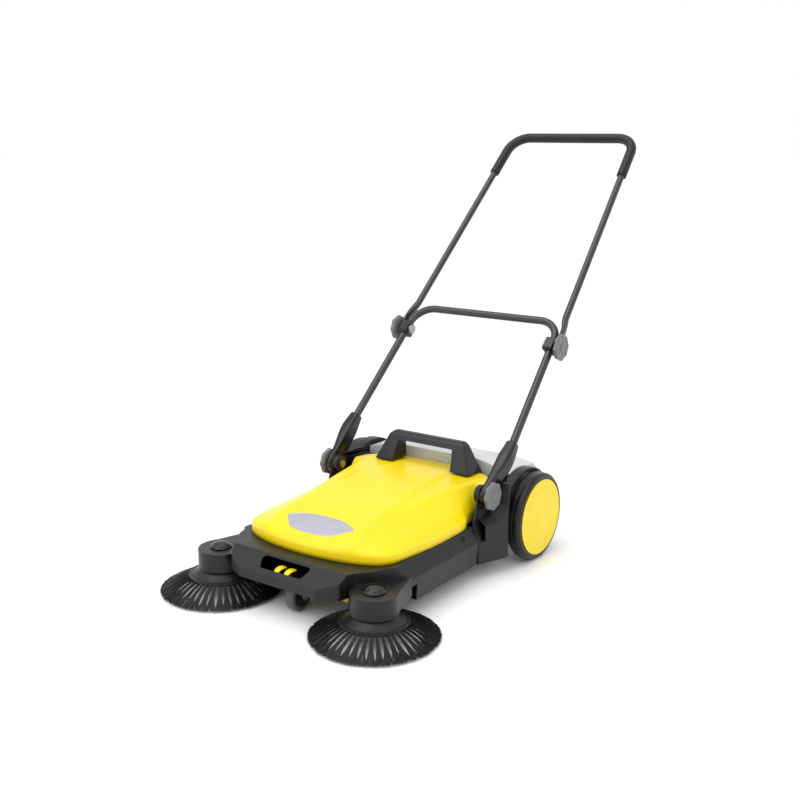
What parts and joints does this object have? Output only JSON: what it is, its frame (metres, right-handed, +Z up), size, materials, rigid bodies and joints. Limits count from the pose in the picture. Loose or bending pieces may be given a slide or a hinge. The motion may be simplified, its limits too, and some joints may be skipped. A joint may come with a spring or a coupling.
{
  "type": "walk-behind push sweeper",
  "caption": "Push sweeper with disc brushes ahead of a low body, a sweeping roller driven by the wheels, a lift-out dirt container and a folding tubular push handle.",
  "frame": {"origin": "centre of the base of the whole machine, on the floor it stands on", "axes": "+Z up; the machine travels towards -Y, so the push handle leans back towards +Y; +X is its left-hand side"},
  "size_m": [0.668, 1.3024, 0.9404],
  "materials": {
    "black_plastic": "satin moulded, fine grain",
    "yellow_plastic": "glossy moulded",
    "silver_plastic": "satin moulded",
    "grey_plastic": "satin moulded",
    "badge_metal": "satin",
    "tyre_black": "moulded tread",
    "tyre_grey": "smooth",
    "bristle_black": "bristle bundles",
    "steel": "zinc plated",
    "tube_paint": "dark grey gloss paint",
    "grip_foam": "matt sleeve",
    "belt_rubber": "smooth"
  },
  "bodies": {
    "chassis": {"chassis_shell": "black_plastic", "hood_shell": "yellow_plastic", "badge_plate": "badge_metal", "carry_handle": "black_plastic", "beam_screws": "steel", "axle_clips": "steel", "roller_belt": "belt_rubber", "roller_bushes": "black_plastic", "front_wheel_bracket": "black_plastic", "front_axle_bolt": "steel", "front_lip": "yellow_plastic", "hinge_bolts": "steel", "side_panel_left": "black_plastic", "side_panel_right": "black_plastic", "axle_bracket_left": "steel", "axle_bracket_right": "steel", "stub_axle_left": "steel", "stub_axle_right": "steel", "brush_bearing_left": "black_plastic", "brush_bearing_right": "black_plastic", "brush_cap_left": "black_plastic", "brush_cap_right": "black_plastic", "brush_belt_left": "belt_rubber", "brush_belt_right": "belt_rubber"},
    "container": {"waste_container": "silver_plastic", "container_lip": "black_plastic"},
    "roller": {"roller_core": "steel", "roller_bristles": "bristle_black", "roller_pulley": "black_plastic"},
    "front_wheel": {"front_tyre": "tyre_grey", "front_hub": "black_plastic"},
    "lower_handle": {"lower_tube": "tube_paint", "joint_bolts": "steel", "hinge_arm_left": "black_plastic", "hinge_arm_right": "black_plastic", "joint_saddle_left": "black_plastic", "joint_saddle_right": "black_plastic"},
    "upper_handle": {"upper_tube": "tube_paint", "grip_sleeve": "grip_foam"},
    "wheel_left": {"wheel_tyre_left": "tyre_black", "wheel_rim_left": "black_plastic", "wheel_cover_left": "yellow_plastic", "drive_pulley_left": "black_plastic"},
    "brush_left": {"brush_plate_left": "black_plastic", "brush_bristles_left": "bristle_black", "brush_drive_hub_left": "black_plastic"},
    "hinge_knob_left": {"hinge_knob_left": "grey_plastic"},
    "joint_knob_left": {"joint_knob_left": "grey_plastic"},
    "wheel_right": {"wheel_tyre_right": "tyre_black", "wheel_rim_right": "black_plastic", "wheel_cover_right": "yellow_plastic", "drive_pulley_right": "black_plastic"},
    "brush_right": {"brush_plate_right": "black_plastic", "brush_bristles_right": "bristle_black", "brush_drive_hub_right": "black_plastic"},
    "hinge_knob_right": {"hinge_knob_right": "grey_plastic"},
    "joint_knob_right": {"joint_knob_right": "grey_plastic"}
  },
  "joints": [
    {"name": "wheel_left_spin", "type": "hinge", "parent": "chassis", "child": "wheel_left", "pos_m": [0.249, 0.02432, 0.1], "axis": [1, 0, 0], "continuous": true},
    {"name": "brush_left_spin", "type": "hinge", "parent": "chassis", "child": "brush_left", "pos_m": [0.2025, -0.51968, 0.072], "axis": [0, 0, 1], "continuous": true},
    {"name": "wheel_right_spin", "type": "hinge", "parent": "chassis", "child": "wheel_right", "pos_m": [-0.249, 0.02432, 0.1], "axis": [1, 0, 0], "continuous": true},
    {"name": "brush_right_spin", "type": "hinge", "parent": "chassis", "child": "brush_right", "pos_m": [-0.2025, -0.51968, 0.072], "axis": [0, 0, 1], "continuous": true},
    {"name": "roller_spin", "type": "hinge", "parent": "chassis", "child": "roller", "pos_m": [0, -0.13568, 0.058], "axis": [1, 0, 0], "continuous": true},
    {"name": "front_wheel_spin", "type": "hinge", "parent": "chassis", "child": "front_wheel", "pos_m": [0, -0.50618, 0.0312], "axis": [1, 0, 0], "continuous": true},
    {"name": "container_slide", "type": "slide", "parent": "chassis", "child": "container", "axis": [0, 1, 0], "range_m": [0, 0.26]},
    {"name": "handle_tilt", "type": "hinge", "parent": "chassis", "child": "lower_handle", "pos_m": [0, -0.12568, 0.182], "axis": [1, 0, 0], "range_deg": [-15, 45]},
    {"name": "handle_fold", "type": "hinge", "parent": "lower_handle", "child": "upper_handle", "pos_m": [0, 0.16274, 0.46346], "axis": [1, 0, 0], "range_deg": [0, 120]},
    {"name": "hinge_knob_left_turn", "type": "hinge", "parent": "lower_handle", "child": "hinge_knob_left", "pos_m": [0.22705, -0.12568, 0.182], "axis": [1, 0, 0], "range_deg": [0, 720]},
    {"name": "joint_knob_left_turn", "type": "hinge", "parent": "lower_handle", "child": "joint_knob_left", "pos_m": [0.22962, 0.16274, 0.46346], "axis": [1, 0, 0], "range_deg": [0, 720]},
    {"name": "hinge_knob_right_turn", "type": "hinge", "parent": "lower_handle", "child": "hinge_knob_right", "pos_m": [-0.22705, -0.12568, 0.182], "axis": [-1, 0, 0], "range_deg": [0, 720]},
    {"name": "joint_knob_right_turn", "type": "hinge", "parent": "lower_handle", "child": "joint_knob_right", "pos_m": [-0.22962, 0.16274, 0.46346], "axis": [-1, 0, 0], "range_deg": [0, 720]}
  ],
  "couplings": [
    {"joint": "brush_left_spin", "follows": "wheel_left_spin", "ratio": -2.3333},
    {"joint": "brush_right_spin", "follows": "wheel_right_spin", "ratio": 2.3333},
    {"joint": "roller_spin", "follows": "wheel_left_spin", "ratio": 2.3333}
  ]
}
